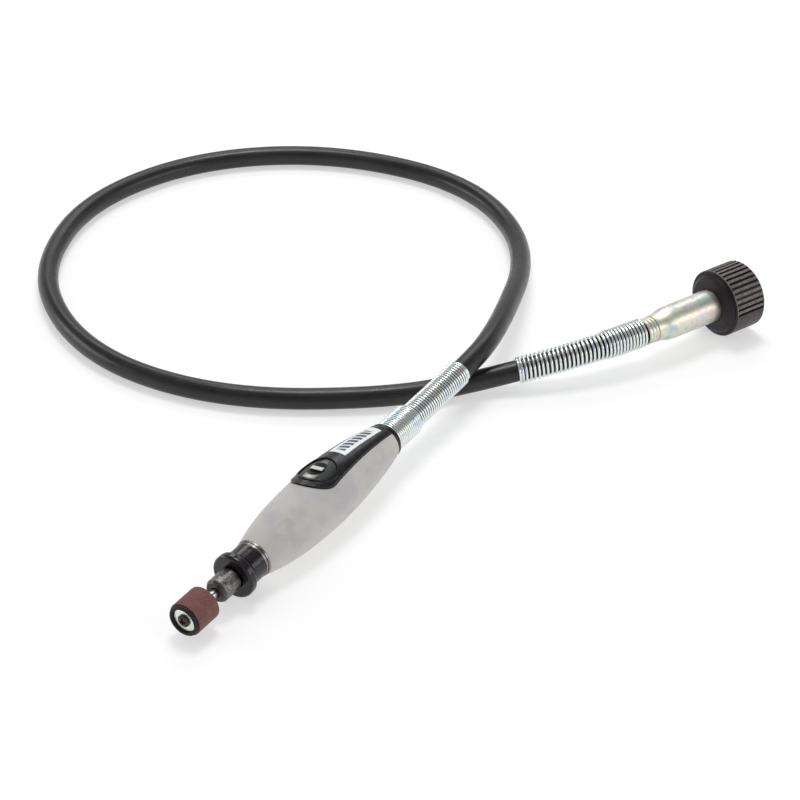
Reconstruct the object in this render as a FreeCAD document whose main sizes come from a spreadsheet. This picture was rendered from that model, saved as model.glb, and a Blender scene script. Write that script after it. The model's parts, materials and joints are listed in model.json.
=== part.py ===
import FreeCAD, Part
import math
import os
import re
import Sketcher

# Flexible shaft with its handpiece, for a motor tool. The origin is at the centre of the coupling nut's
# thread, where it begins at the nut's open end. +X is out of that end along the thread, and +Z is up.
# The object lies on a flat surface with the nut's ribs on it. Millimetres and degrees.
SIZES = {
    # flexible shaft
    "jacket_diameter": 8.3,
    "jacket_bore": 6.2,
    "liner_diameter": 6.1,
    "liner_bore": 4.4,
    "liner_lead": 6.0,
    "core_diameter": 3.8,
    "core_lead": 10.5,
    "core_stop": -3.0,
    "fit_gap": 0.05,
    "running_gap": 0.1,
    "spring_wire": 0.85,
    "spring_bore": 8.5,
    "spring_rear": 50.0,
    "root_length": 13.9,
    "root_taper": 2.0,
    "casing_depth": 1.9,
    # handpiece in place
    "handpiece_x": -173.9,
    "handpiece_y": -1.35,
    "handpiece_z": -0.09,
    "handpiece_heading": -160.0,
    "nose_down": 2.64,
    "panel_roll": 9.0,
    # handle, along its axis from the rear
    "grip_rear": 2.2,
    "grip_radius": 11.4,
    "grip_belly": 44.1,
    "grip_curve": 208.0,
    "grip_turn": 60.1,
    "grip_front_curve": 105.6,
    "grip_front": 80.4,
    "grip_front_radius": 7.2,
    "grip_thickness": 1.1,
    "grip_front_bore": 6.45,
    "housing_front": 73.1,
    "housing_front_radius": 7.75,
    "nose_plug": 6.4,
    "front_bore": 6.5,
    "window_gap": 0.15,
    "collar_radius": 6.9,
    "cap_bore": 4.55,
    "rear_bore": 5.25,
    "middle_bore": 4.6,
    # panel, a little proud of the grip
    "panel_radius": 12.0,
    "panel_curve": 187.0,
    "panel_rear_half": 4.9,
    "waist_position": 24.1,
    "waist_half": 6.9,
    "bulb_position": 41.9,
    "bulb_radius": 8.4,
    "label_rear": 5.0,
    "label_front": 27.9,
    "label_rear_half": 2.8,
    "label_front_half": 3.6,
    "label_depth": 0.2,
    "dimple_position": 70.9,
    "dimple_radius": 9.45,
    "dimple_angle": 43.0,
    "dimple_curve": 14.0,
    "dimple_depth": 0.45,
    # spindle lock
    "button_position": 39.6,
    "button_radius": 6.6,
    "button_gap": 0.3,
    "lip_width": 0.8,
    "lip_height": 0.35,
    "button_underside": 8.2,
    "button_sink": 0.15,
    "seat_height": 5.8,
    "pin_radius": 1.2,
    "lock_hole_radius": 1.4,
    "pin_tip": 4.2,
    "dish_radius": 12.0,
    "dish_height": 22.9,
    "nub_length": 5.0,
    "nub_width": 1.7,
    "nub_height": 11.95,
    "lock_wire": 0.3,
    "lock_turns": 3.0,
    # spindle and bearings
    "spindle_rear": 14.0,
    "spindle_front": 96.4,
    "hub_radius": 4.0,
    "rear_bearing_at": 15.2,
    "rear_bearing_length": 4.0,
    "rear_journal": 2.5,
    "rear_race": 5.0,
    "rear_ball": 0.75,
    "front_bearing_at": 64.0,
    "front_bearing_length": 4.0,
    "front_journal": 3.5,
    "front_race": 6.5,
    "front_ball": 1.0,
    "ball_gap": 0.08,
    "ball_count": 9.0,
    "thread_radius": 3.4,
    "collet_seat": 2.4,
    "socket_square": 2.6,
    "square": 2.5,
    # nose
    "nose_radius": 6.9,
    "trim_length": 2.0,
    "flange_rear": 89.3,
    "flange_length": 3.7,
    "flange_radius": 8.4,
    "flange_round": 1.1,
    "nose_bore": 4.1,
    # collet and nut
    "nut_rear": 93.4,
    "nut_step": 98.6,
    "nut_tip": 102.4,
    "nut_radius": 4.5,
    "nut_flats": 8.5,
    "nut_thread": 3.45,
    "collet_rear": 81.4,
    "collet_radius": 2.35,
    "collet_head": 3.0,
    "collet_bore": 1.62,
    "shank_radius": 1.5875,
    "collet_slot": 0.4,
    # sanding drum
    "drum_rear": 108.3,
    "drum_length": 12.1,
    "band_length": 10.7,
    "drum_radius": 6.35,
    "band_bore": 5.95,
    "rubber_radius": 5.9,
    "rubber_round": 0.9,
    "washer_radius": 4.5,
    "washer_thickness": 0.8,
    "washer_depth": 1.1,
    "screw_radius": 2.3,
    # coupling nut, back from the start of its thread
    "coupling_radius": 13.4,
    "coupling_valley": 12.75,
    "coupling_mouth": 0.8,
    "coupling_length": 17.3,
    "coupling_round": 1.1,
    "coupling_step": 1.3,
    "coupling_rear": 2.4,
    "rib_length": 13.6,
    "rib_count": 38.0,
    "ribs_in_row": 14.0,
    "rib_gap": 0.8,
    "pad_angle": 116.0,
    "thread_bore": 9.0,
    "thread_length": 8.6,
    "relief_radius": 9.4,
    "coupling_end_wall": 11.1,
    "coupling_hole": 6.85,
    # drive end ferrule
    "ferrule_radius": 6.55,
    "ferrule_flange": 8.6,
    "ferrule_front": -9.6,
    "ferrule_flange_rear": -10.9,
    "ferrule_shoulder": -38.0,
    "ferrule_taper": -46.4,
    "ferrule_neck": 5.3,
    "ferrule_rear": -51.2,
    "bush_bore": 4.35,
    "bush_rear": -26.0,
    "bush_front": -12.2,
    "sleeve_radius": 2.4,
    "core_end_rear": -36.5,
    "core_end_length": 24.5,
    "jacket_end": -34.0,
}

doc = FreeCAD.newDocument("flex_shaft")
sheet = doc.addObject("Spreadsheet::Sheet", "Sizes")
for row, (alias, value) in enumerate(SIZES.items(), 1):
    sheet.set(f"A{row}", alias)
    sheet.set(f"B{row}", str(value))
    sheet.setAlias(f"B{row}", alias)
doc.recompute()

AXIS = FreeCAD.Vector(1, 0, 0)
ACROSS = FreeCAD.Vector(0, 1, 0)
UP = FreeCAD.Vector(0, 0, 1)
HERE = FreeCAD.Placement()
FLOOR = -SIZES["coupling_radius"]


def bound(formula):
    """The formula with every size's name pointing at its cell."""

    def cell(word):
        return "Sizes." + word.group() if word.group() in SIZES else word.group()

    return re.sub("[a-z_]+", cell, formula)


def value(formula):
    """What a formula of sizes comes to."""
    result = sheet.evalExpression(bound(formula))
    return float(getattr(result, "Value", result))


def handpiece_place():
    """The handpiece lies on its belly, nose down, with its local +X towards the tip."""
    turn = FreeCAD.Rotation(UP, SIZES["handpiece_heading"])
    turn = turn * FreeCAD.Rotation(ACROSS, SIZES["nose_down"]) * FreeCAD.Rotation(AXIS, SIZES["panel_roll"])
    spot = FreeCAD.Vector(SIZES["handpiece_x"], SIZES["handpiece_y"], SIZES["handpiece_z"])
    return FreeCAD.Placement(spot, turn)


HANDPIECE = handpiece_place()


def new_body(label, place):
    body = doc.addObject("PartDesign::Body", label)
    body.Label = label
    body.Placement = place
    return body


def new_sketch(body, name, plane):
    """A sketch on one of the body's own origin planes."""
    sketch = body.newObject("Sketcher::SketchObject", f"{body.Label}_{name}")
    sketch.AttachmentSupport = [(plane_of(body, plane), "")]
    sketch.MapMode = "FlatFace"
    return sketch


def plane_of(body, plane):
    """One of the body's own origin planes."""
    return [part for part in body.Origin.OriginFeatures if part.Role == plane][0]


def pin_down(sketch, edge, end, across, along):
    """Ties one end of an edge to its place: two distances from the sketch's origin, as formulas of sizes."""
    for kind, formula in (("DistanceX", across), ("DistanceY", along)):
        if abs(value(formula)) < 1e-9:
            other = -2 if kind == "DistanceX" else -1
            sketch.addConstraint(Sketcher.Constraint("PointOnObject", edge, end, other))
            continue
        index = sketch.addConstraint(Sketcher.Constraint(kind, -1, 1, edge, end, value(formula)))
        sketch.setExpression(f"Constraints[{index}]", bound(formula))


LEFT = 1
RIGHT = -1


def bowed(start, end, radius, side):
    """An arc between two points, bulging to one side of the way from start to end."""
    half = (end - start).Length / 2
    rise = radius - math.sqrt(radius * radius - half * half)
    across = FreeCAD.Vector(start.y - end.y, end.x - start.x, 0).normalize()
    return Part.Arc(start, (start + end) / 2 + across * rise * side, end)


def end_at(sketch, edge, place):
    """Which end of an edge, 1 or 2, lies at a place."""
    return 1 if (sketch.getPoint(edge, 1) - place).Length < 1e-6 else 2


def outline(sketch, points):
    """A closed outline. Each point is two formulas, and a point that an arc leads on from also has the arc's
    radius and the side that it bulges to."""
    places = [FreeCAD.Vector(value(point[0]), value(point[1]), 0) for point in points]
    edges = []
    for step, point in enumerate(points):
        start = places[step]
        end = places[(step + 1) % len(points)]
        if len(point) == 2:
            shape = Part.LineSegment(start, end)
        else:
            shape = bowed(start, end, value(point[2]), point[3])
        edges.append(sketch.addGeometry(shape, False))
    for step, point in enumerate(points):
        edge = edges[step]
        first = end_at(sketch, edge, places[step])
        last = end_at(sketch, edges[step - 1], places[step])
        sketch.addConstraint(Sketcher.Constraint("Coincident", edges[step - 1], last, edge, first))
        pin_down(sketch, edge, first, point[0], point[1])
        if len(point) == 4:
            index = sketch.addConstraint(Sketcher.Constraint("Radius", edge, value(point[2])))
            sketch.setExpression(f"Constraints[{index}]", bound(point[2]))


def circle(sketch, across, along, radius):
    """A full circle, its centre and radius tied to formulas."""
    centre = FreeCAD.Vector(value(across), value(along), 0)
    edge = sketch.addGeometry(Part.Circle(centre, UP, value(radius)), False)
    pin_down(sketch, edge, 3, across, along)
    index = sketch.addConstraint(Sketcher.Constraint("Radius", edge, value(radius)))
    sketch.setExpression(f"Constraints[{index}]", bound(radius))


def rectangle(sketch, low_across, high_across, low_along, high_along):
    outline(sketch, [(low_across, low_along), (high_across, low_along),
                     (high_across, high_along), (low_across, high_along)])


def raised(sketch, plane_offset):
    """Lifts a sketch off its plane by a formula."""
    lift = FreeCAD.Vector(0, 0, value(plane_offset))
    sketch.AttachmentOffset = FreeCAD.Placement(lift, FreeCAD.Rotation())
    sketch.setExpression("AttachmentOffset.Base.z", bound(plane_offset))


def spun(body, kind, name, points):
    """A revolution or groove about the body's X axis, from an outline of (along, radius) formulas."""
    sketch = new_sketch(body, name + "_outline", "XZ_Plane")
    outline(sketch, points)
    feature = body.newObject("PartDesign::" + kind, f"{body.Label}_{name}")
    feature.Profile = sketch
    feature.ReferenceAxis = (sketch, ["H_Axis"])
    feature.Angle = 360
    sketch.Visibility = False
    doc.recompute()
    return feature


def turned(label, points, place):
    """A piece turned on its own X axis."""
    body = new_body(label, place)
    spun(body, "Revolution", "turning", points)
    return body


def grown(body, kind, name, sketch, length, forward=True, midplane=False):
    """A pad or pocket of a sketch: forward is along the sketch's normal."""
    feature = body.newObject("PartDesign::" + kind, f"{body.Label}_{name}")
    feature.Profile = sketch
    feature.Length = value(length)
    feature.setExpression("Length", bound(length))
    feature.Midplane = midplane
    feature.Reversed = (not forward) if kind == "Pad" else forward
    sketch.Visibility = False
    doc.recompute()
    return feature


def cut_check(body, before, what):
    """A cut that removes nothing is a mistake."""
    if body.Shape.Volume > before - 1e-3:
        raise RuntimeError(f"{body.Label}: {what} removed nothing")


def pocket(body, name, sketch, length, forward=True, midplane=False):
    before = body.Shape.Volume
    feature = grown(body, "Pocket", name, sketch, length, forward, midplane)
    cut_check(body, before, name)
    return feature


def groove(body, name, points):
    before = body.Shape.Volume
    feature = spun(body, "Groove", name, points)
    cut_check(body, before, name)
    return feature


def round_pattern(body, feature, axis, angle, count):
    """Repeats a feature about an axis of its sketch."""
    pattern = body.newObject("PartDesign::PolarPattern", feature.Name + "_pattern")
    pattern.Originals = [feature]
    pattern.Axis = (feature.Profile[0], [axis])
    pattern.Angle = value(angle)
    pattern.Occurrences = round(value(count))
    pattern.setExpression("Angle", bound(angle))
    pattern.setExpression("Occurrences", bound(count))
    body.Tip = pattern
    doc.recompute()


def square_hole(body, name, at, side, length):
    """A square hole along X, from a place on the axis towards +X."""
    sketch = new_sketch(body, name + "_outline", "YZ_Plane")
    rectangle(sketch, f"-{side} / 2", f"{side} / 2", f"-{side} / 2", f"{side} / 2")
    raised(sketch, at)
    pocket(body, name, sketch, length)


def square_bar(label, at, side, length, place):
    body = new_body(label, place)
    sketch = new_sketch(body, "section", "YZ_Plane")
    rectangle(sketch, f"-{side} / 2", f"{side} / 2", f"-{side} / 2", f"{side} / 2")
    raised(sketch, at)
    grown(body, "Pad", "bar", sketch, length)


# handle

def grip_surface(at, inset="0"):
    """Radius of the handle's long outer curve at a place along it, or of a curve inside it by the inset."""
    return f"grip_radius - grip_curve + sqrt((grip_curve - ({inset}))^2 - ({at} - grip_belly)^2)"


def panel_surface(at, proud="0"):
    """Radius of the panel's long outer curve at a place along it, or of a curve outside it."""
    return f"panel_radius - panel_curve + sqrt((panel_curve + {proud})^2 - ({at} - grip_belly)^2)"


def panel_outline(sketch, rear, gap):
    """The panel seen from above: narrow at the rear, a round bulb at the front, wider by the gap."""
    reach = value("bulb_position - waist_position")
    half = value(f"waist_half + {gap}")
    radius = value(f"bulb_radius + {gap}")
    turn = math.pi - math.atan2(half, reach) - math.acos(radius / math.hypot(half, reach))
    middle = FreeCAD.Vector(value("bulb_position"), 0, 0)
    touch = middle + FreeCAD.Vector(math.cos(turn), math.sin(turn), 0) * radius
    far = middle + FreeCAD.Vector(radius, 0, 0)
    corner = FreeCAD.Vector(value(rear), value(f"panel_rear_half + {gap}"), 0)
    waist = FreeCAD.Vector(value("waist_position"), half, 0)
    flip = FreeCAD.Vector(1, -1, 1)

    def mirrored(point):
        return FreeCAD.Vector(point.x * flip.x, point.y * flip.y, 0)

    shapes = [
        Part.LineSegment(mirrored(corner), corner),
        Part.LineSegment(corner, waist),
        Part.LineSegment(waist, touch),
        Part.Arc(mirrored(touch), far, touch),
        Part.LineSegment(mirrored(touch), mirrored(waist)),
        Part.LineSegment(mirrored(waist), mirrored(corner)),
    ]
    edges = [sketch.addGeometry(shape, False) for shape in shapes]
    back, side, flare, bulb, other_flare, other_side = edges
    joins = [
        (back, side, corner), (side, flare, waist), (flare, bulb, touch),
        (bulb, other_flare, mirrored(touch)), (other_flare, other_side, mirrored(waist)),
        (other_side, back, mirrored(corner)),
    ]
    for one, other, place in joins:
        ends = (one, end_at(sketch, one, place), other, end_at(sketch, other, place))
        kind = "Tangent" if bulb in (one, other) else "Coincident"
        sketch.addConstraint(Sketcher.Constraint(kind, *ends))
    pin_down(sketch, side, end_at(sketch, side, corner), rear, f"panel_rear_half + {gap}")
    pin_down(sketch, flare, end_at(sketch, flare, waist), "waist_position", f"waist_half + {gap}")
    far_corner = end_at(sketch, other_side, mirrored(corner))
    pin_down(sketch, other_side, far_corner, rear, f"-panel_rear_half - {gap}")
    pin_down(sketch, other_flare, end_at(sketch, other_flare, mirrored(waist)), "waist_position",
             f"-waist_half - {gap}")
    pin_down(sketch, bulb, 3, "bulb_position", "0")
    index = sketch.addConstraint(Sketcher.Constraint("Radius", bulb, radius))
    sketch.setExpression(f"Constraints[{index}]", bound(f"bulb_radius + {gap}"))


def outside_of_panel(proud):
    """The space outside the panel's long curve, to trim a piece flush with it or proud of it."""
    return [
        ("0", panel_surface("0", proud), f"panel_curve + {proud}", LEFT),
        ("grip_turn", panel_surface("grip_turn", proud)),
        ("grip_turn", "3 * grip_radius"),
        ("0", "3 * grip_radius"),
    ]


def soft_grip():
    body = turned("soft_grip", [
        ("grip_rear", grip_surface("grip_rear"), "grip_curve", LEFT),
        ("grip_turn", grip_surface("grip_turn"), "grip_front_curve", LEFT),
        ("grip_front", "grip_front_radius"),
        ("grip_front", "grip_front_bore"),
        ("housing_front", "grip_front_bore"),
        ("housing_front", "housing_front_radius"),
        ("grip_turn", grip_surface("grip_turn", "grip_thickness"), "grip_curve - grip_thickness", RIGHT),
        ("grip_rear", grip_surface("grip_rear", "grip_thickness")),
    ], HANDPIECE)
    sketch = new_sketch(body, "window_outline", "XY_Plane")
    panel_outline(sketch, "grip_rear - 1", "window_gap")
    pocket(body, "window", sketch, "2 * grip_radius")
    dimple = body.newObject("PartDesign::SubtractiveSphere", "soft_grip_dimple")
    dimple.Radius = SIZES["dimple_curve"]
    dimple.AttachmentSupport = [(plane_of(body, "XY_Plane"), "")]
    dimple.MapMode = "FlatFace"
    out = value("dimple_radius + dimple_curve - dimple_depth")
    around = math.radians(SIZES["dimple_angle"])
    spot = FreeCAD.Vector(SIZES["dimple_position"], out * math.sin(around), out * math.cos(around))
    dimple.AttachmentOffset = FreeCAD.Placement(spot, FreeCAD.Rotation())
    dimple.setExpression("Radius", bound("dimple_curve"))
    dimple.setExpression("AttachmentOffset.Base.x", bound("dimple_position"))
    doc.recompute()


def handle_housing():
    """The two moulded shells of the handle, as one: its panel shows through the grip's window."""
    body = turned("handle_housing", [
        ("grip_rear", "0"),
        ("grip_rear", grip_surface("grip_rear", "grip_thickness"), "grip_curve - grip_thickness", LEFT),
        ("grip_turn", grip_surface("grip_turn", "grip_thickness")),
        ("housing_front", "housing_front_radius"),
        ("housing_front", "0"),
    ], HANDPIECE)
    panel = new_sketch(body, "panel_outline", "XY_Plane")
    panel_outline(panel, "grip_rear", "0")
    grown(body, "Pad", "panel", panel, "2 * grip_radius")
    groove(body, "trim", outside_of_panel("0"))
    lip = new_sketch(body, "lip_outline", "XY_Plane")
    circle(lip, "button_position", "0", "button_radius + button_gap")
    circle(lip, "button_position", "0", "button_radius + button_gap + lip_width")
    grown(body, "Pad", "lip", lip, "2 * grip_radius")
    groove(body, "lip_top", outside_of_panel("lip_height"))
    groove(body, "bores", [
        ("grip_rear", "0"),
        ("grip_rear", "rear_bore"),
        ("rear_bearing_at", "rear_bore"),
        ("rear_bearing_at", "rear_race"),
        ("rear_bearing_at + rear_bearing_length", "rear_race"),
        ("rear_bearing_at + rear_bearing_length", "middle_bore"),
        ("front_bearing_at", "middle_bore"),
        ("front_bearing_at", "front_bore"),
        ("housing_front", "front_bore"),
        ("housing_front", "0"),
    ])
    seat = new_sketch(body, "button_seat_outline", "XY_Plane")
    circle(seat, "button_position", "0", "button_radius + button_gap")
    raised(seat, "seat_height")
    pocket(body, "button_seat", seat, "grip_radius")
    guide = new_sketch(body, "pin_guide_outline", "XY_Plane")
    circle(guide, "button_position", "0", "pin_radius + running_gap")
    pocket(body, "pin_guide", guide, "grip_radius")


def label_plate():
    """A plain white plate on the panel, curved with it."""
    body = new_body("label_plate", HANDPIECE)
    sketch = new_sketch(body, "plate_outline", "XY_Plane")
    outline(sketch, [
        ("label_rear", "-label_rear_half"),
        ("label_front", "-label_front_half"),
        ("label_front", "label_front_half"),
        ("label_rear", "label_rear_half"),
    ])
    grown(body, "Pad", "plate", sketch, "2 * grip_radius")
    groove(body, "top", outside_of_panel("label_depth"))
    groove(body, "bottom", [
        ("label_rear - 1", "0"),
        ("label_rear - 1", panel_surface("(label_rear - 1)"), "panel_curve", LEFT),
        ("label_front + 1", panel_surface("(label_front + 1)")),
        ("label_front + 1", "0"),
    ])


def lock_button():
    """The button follows the handle's curve, with a dished top and a small bar across it."""
    body = new_body("lock_button", HANDPIECE)
    disc = new_sketch(body, "disc_outline", "XY_Plane")
    circle(disc, "button_position", "0", "button_radius")
    raised(disc, "button_underside")
    grown(body, "Pad", "disc", disc, "grip_radius")
    groove(body, "trim", outside_of_panel("-button_sink"))
    dish = body.newObject("PartDesign::SubtractiveSphere", "lock_button_dish")
    dish.Radius = SIZES["dish_radius"]
    dish.AttachmentSupport = [(plane_of(body, "XY_Plane"), "")]
    dish.MapMode = "FlatFace"
    spot = FreeCAD.Vector(SIZES["button_position"], 0, SIZES["dish_height"])
    dish.AttachmentOffset = FreeCAD.Placement(spot, FreeCAD.Rotation())
    dish.setExpression("Radius", bound("dish_radius"))
    dish.setExpression("AttachmentOffset.Base.x", bound("button_position"))
    dish.setExpression("AttachmentOffset.Base.z", bound("dish_height"))
    doc.recompute()
    nub = new_sketch(body, "nub_outline", "XY_Plane")
    rectangle(nub, "button_position - nub_width / 2", "button_position + nub_width / 2",
              "-nub_length / 2", "nub_length / 2")
    raised(nub, "button_underside + 0.5")
    grown(body, "Pad", "nub", nub, "nub_height - button_underside - 0.5")


def lock_pin():
    body = new_body("lock_pin", HANDPIECE)
    sketch = new_sketch(body, "section", "XY_Plane")
    circle(sketch, "button_position", "0", "pin_radius")
    raised(sketch, "pin_tip")
    grown(body, "Pad", "pin", sketch, "button_underside - pin_tip")


def feature(label, shape, place):
    """A piece that only Part's own functions make."""
    piece = doc.addObject("Part::Feature", label)
    piece.Label = label
    piece.Shape = shape
    piece.Placement = place
    return piece


def lock_spring():
    """A short wire coil round the lock pin, between its seat and the button."""
    wire = SIZES["lock_wire"]
    height = SIZES["button_underside"] - SIZES["seat_height"] - 2 * wire
    radius = (SIZES["pin_radius"] + SIZES["button_radius"]) / 3
    coil = Part.makeLongHelix(height / SIZES["lock_turns"], height, radius)
    section = Part.Wire(Part.makeCircle(wire / 2, FreeCAD.Vector(radius, 0, 0), ACROSS))
    spot = FreeCAD.Vector(SIZES["button_position"], 0, SIZES["seat_height"] + wire)
    place = HANDPIECE.multiply(FreeCAD.Placement(spot, FreeCAD.Rotation()))
    feature("lock_spring", Part.Wire(coil.Edges).makePipe(Part.Face(section)), place)


def rear_end_cap():
    turned("rear_end_cap", [
        ("0", "cap_bore"),
        ("0", "collar_radius - 0.5"),
        ("0.5", "collar_radius"),
        ("grip_rear - fit_gap", "collar_radius"),
        ("grip_rear - fit_gap", "rear_bore - fit_gap"),
        ("rear_bearing_at - 0.8", "rear_bore - fit_gap"),
        ("rear_bearing_at - 0.8", "cap_bore"),
    ], HANDPIECE)


def preload_washer():
    turned("preload_washer", [
        ("rear_bearing_at - 0.6", "rear_race - 0.7"),
        ("rear_bearing_at - running_gap", "rear_race - 0.7"),
        ("rear_bearing_at - running_gap", "rear_race - fit_gap"),
        ("rear_bearing_at - 0.6", "rear_race - fit_gap"),
    ], HANDPIECE)


def nose_piece():
    """The nose plugs into the handle, carries the trim rings and ends in a thick round-edged flange."""
    front = "(flange_rear + flange_length)"
    edge = "(flange_radius - flange_round)"
    turned("nose_piece", [
        ("front_bearing_at + front_bearing_length + 0.2", "nose_bore + 1.2"),
        ("front_bearing_at + front_bearing_length + 0.2", "nose_plug"),
        ("grip_front + trim_length", "nose_plug"),
        ("grip_front + trim_length", "nose_radius"),
        ("flange_rear - 1", "nose_radius"),
        ("flange_rear - 0.6", "nose_radius - 0.45"),
        ("flange_rear", "nose_radius - 0.45"),
        ("flange_rear", edge, "flange_round", LEFT),
        ("flange_rear + flange_round", "flange_radius"),
        (f"{front} - flange_round", "flange_radius", "flange_round", LEFT),
        (front, edge),
        (front, "nose_bore + 0.3"),
        (f"{front} - 0.3", "nose_bore"),
        ("grip_front - 8", "nose_bore"),
        ("grip_front - 8", "nose_bore + 1.2"),
    ], HANDPIECE)


def trim_rings():
    """Two thin metal rings, turned as one, between the grip and the nose."""
    inner = "nose_plug + fit_gap"
    turned("trim_rings", [
        ("grip_front + fit_gap", inner),
        ("grip_front + fit_gap", "grip_front_radius - fit_gap"),
        ("grip_front + 0.8", "grip_front_radius - running_gap"),
        ("grip_front + 0.8", "grip_front_radius - 0.4"),
        ("grip_front + 1.1", "grip_front_radius - 0.4"),
        ("grip_front + 1.1", "grip_front_radius - 0.2"),
        ("grip_front + trim_length - fit_gap", "grip_front_radius - 0.25"),
        ("grip_front + trim_length - fit_gap", inner),
    ], HANDPIECE)


# spindle, bearings and collet

def spindle():
    end = "front_bearing_at + front_bearing_length + running_gap"
    body = turned("spindle", [
        ("spindle_rear", "0"),
        ("spindle_rear", "rear_journal"),
        ("rear_bearing_at + rear_bearing_length + running_gap", "rear_journal"),
        ("rear_bearing_at + rear_bearing_length + running_gap", "rear_journal + 0.4"),
        ("spindle_rear + 10", "rear_journal + 0.4"),
        ("spindle_rear + 10", "hub_radius"),
        ("front_bearing_at - running_gap", "hub_radius"),
        ("front_bearing_at - running_gap", "front_journal"),
        (end, "front_journal"),
        (end, "front_journal - 0.25"),
        (f"{end} + 1", "front_journal - 0.25"),
        (f"{end} + 1", "front_journal"),
        (f"{end} + 4", "front_journal"),
        (f"{end} + 4", "thread_radius"),
        ("spindle_front", "thread_radius"),
        ("spindle_front", "collet_seat"),
        ("collet_rear - 0.5", "collet_seat"),
        ("collet_rear - 0.5", "0"),
    ], HANDPIECE)
    square_hole(body, "socket", "spindle_rear", "socket_square", "9")
    for plane in ("XY_Plane", "XZ_Plane"):
        sketch = new_sketch(body, "lock_hole_" + plane[:2].lower(), plane)
        circle(sketch, "button_position", "0", "lock_hole_radius")
        pocket(body, "lock_bore_" + plane[:2].lower(), sketch, "3 * hub_radius", midplane=True)


def bearing_circlip():
    end = "front_bearing_at + front_bearing_length"
    turned("bearing_circlip", [
        (f"{end} + 0.15", "front_journal - 0.2"),
        (f"{end} + 0.15", "nose_bore + 0.8"),
        (f"{end} + 1.05", "nose_bore + 0.8"),
        (f"{end} + 1.05", "front_journal - 0.2"),
    ], HANDPIECE)


def bearing(end):
    """A ball bearing: two grooved rings, and the balls in their cage."""
    at = f"{end}_bearing_at"
    length = f"{end}_bearing_length"
    middle = f"({at} + {length} / 2)"
    pitch = f"({end}_journal + {end}_race) / 2"
    track = f"({end}_ball + ball_gap)"
    shoulder = f"{end}_ball * 0.6"
    half = f"sqrt({track}^2 - ({shoulder})^2)"
    turned(f"{end}_bearing_outer", [
        (at, f"{pitch} + {shoulder}"),
        (f"{middle} - {half}", f"{pitch} + {shoulder}", track, LEFT),
        (f"{middle} + {half}", f"{pitch} + {shoulder}"),
        (f"{at} + {length}", f"{pitch} + {shoulder}"),
        (f"{at} + {length}", f"{end}_race"),
        (at, f"{end}_race"),
    ], HANDPIECE)
    turned(f"{end}_bearing_inner", [
        (at, f"{pitch} - {shoulder}"),
        (f"{middle} - {half}", f"{pitch} - {shoulder}", track, RIGHT),
        (f"{middle} + {half}", f"{pitch} - {shoulder}"),
        (f"{at} + {length}", f"{pitch} - {shoulder}"),
        (f"{at} + {length}", f"{end}_journal"),
        (at, f"{end}_journal"),
    ], HANDPIECE)
    radius = value(f"{end}_ball")
    ring = value(pitch)
    centre = value(middle)
    balls = []
    pockets = []
    for number in range(round(SIZES["ball_count"])):
        around = 2 * math.pi * number / SIZES["ball_count"]
        spot = FreeCAD.Vector(centre, ring * math.sin(around), ring * math.cos(around))
        balls.append(Part.makeSphere(radius, spot))
        pockets.append(Part.makeSphere(radius + SIZES["ball_gap"], spot))
    feature(f"{end}_bearing_balls", Part.makeCompound(balls), HANDPIECE)
    rear_face = FreeCAD.Vector(centre - radius * 0.8, 0, 0)
    cage = Part.makeCylinder(ring + radius * 0.35, radius * 1.6, rear_face, AXIS)
    cage = cage.cut(Part.makeCylinder(ring - radius * 0.35, radius * 1.6, rear_face, AXIS))
    feature(f"{end}_bearing_cage", cage.cut(pockets), HANDPIECE)


def collet():
    head = "(spindle_front + running_gap)"
    body = turned("collet", [
        ("collet_rear", "collet_bore"),
        ("collet_rear", "collet_radius"),
        (head, "collet_radius"),
        (f"{head} + 0.8", "collet_head"),
        (f"{head} + 2.5", "collet_head"),
        (f"{head} + 4.5", "collet_head - 0.8"),
        (f"{head} + 4.5", "collet_bore"),
    ], HANDPIECE)
    for plane in ("XY_Plane", "XZ_Plane"):
        sketch = new_sketch(body, "slot_" + plane[:2].lower(), plane)
        rectangle(sketch, "collet_rear + 4", f"{head} + 5", "-collet_slot / 2", "collet_slot / 2")
        pocket(body, "slit_" + plane[:2].lower(), sketch, "3 * collet_head", midplane=True)


def collet_nut():
    body = turned("collet_nut", [
        ("nut_rear", "nut_thread"),
        ("nut_rear", "nut_radius - 0.4"),
        ("nut_rear + 0.4", "nut_radius"),
        ("nut_tip - 1.2", "nut_radius"),
        ("nut_tip - 0.3", "nut_radius - 0.6"),
        ("nut_tip", "nut_radius - 0.9"),
        ("nut_tip", "shank_radius + 0.35"),
        ("nut_tip - 0.6", "shank_radius + 0.75"),
        ("spindle_front + 2.8", "collet_head + 0.2"),
        ("spindle_front + running_gap", "nut_thread"),
    ], HANDPIECE)
    flat = new_sketch(body, "flat_outline", "XZ_Plane")
    rectangle(flat, "nut_rear - 1", "nut_step", "nut_flats / 2", "nut_radius + 1")
    first = pocket(body, "flat", flat, "3 * nut_radius", midplane=True)
    round_pattern(body, first, "H_Axis", "360", "6")


# sanding drum

def mandrel():
    """The drum's shank, with a collar behind the rubber and a threaded bore for the drum's screw."""
    end = "drum_rear + drum_length - washer_depth - washer_thickness - 0.5"
    turned("mandrel", [
        ("collet_rear + 0.5", "0"),
        ("collet_rear + 0.5", "shank_radius - 0.3"),
        ("collet_rear + 0.8", "shank_radius"),
        ("drum_rear - 1.4", "shank_radius"),
        ("drum_rear - 1.4", "shank_radius + 1.9"),
        ("drum_rear - 0.2", "shank_radius + 1.9"),
        ("drum_rear - 0.2", "shank_radius - running_gap"),
        (end, "shank_radius - running_gap"),
        (end, "1.05"),
        ("drum_rear + 3", "1.05"),
        ("drum_rear + 3", "0"),
    ], HANDPIECE)


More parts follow.
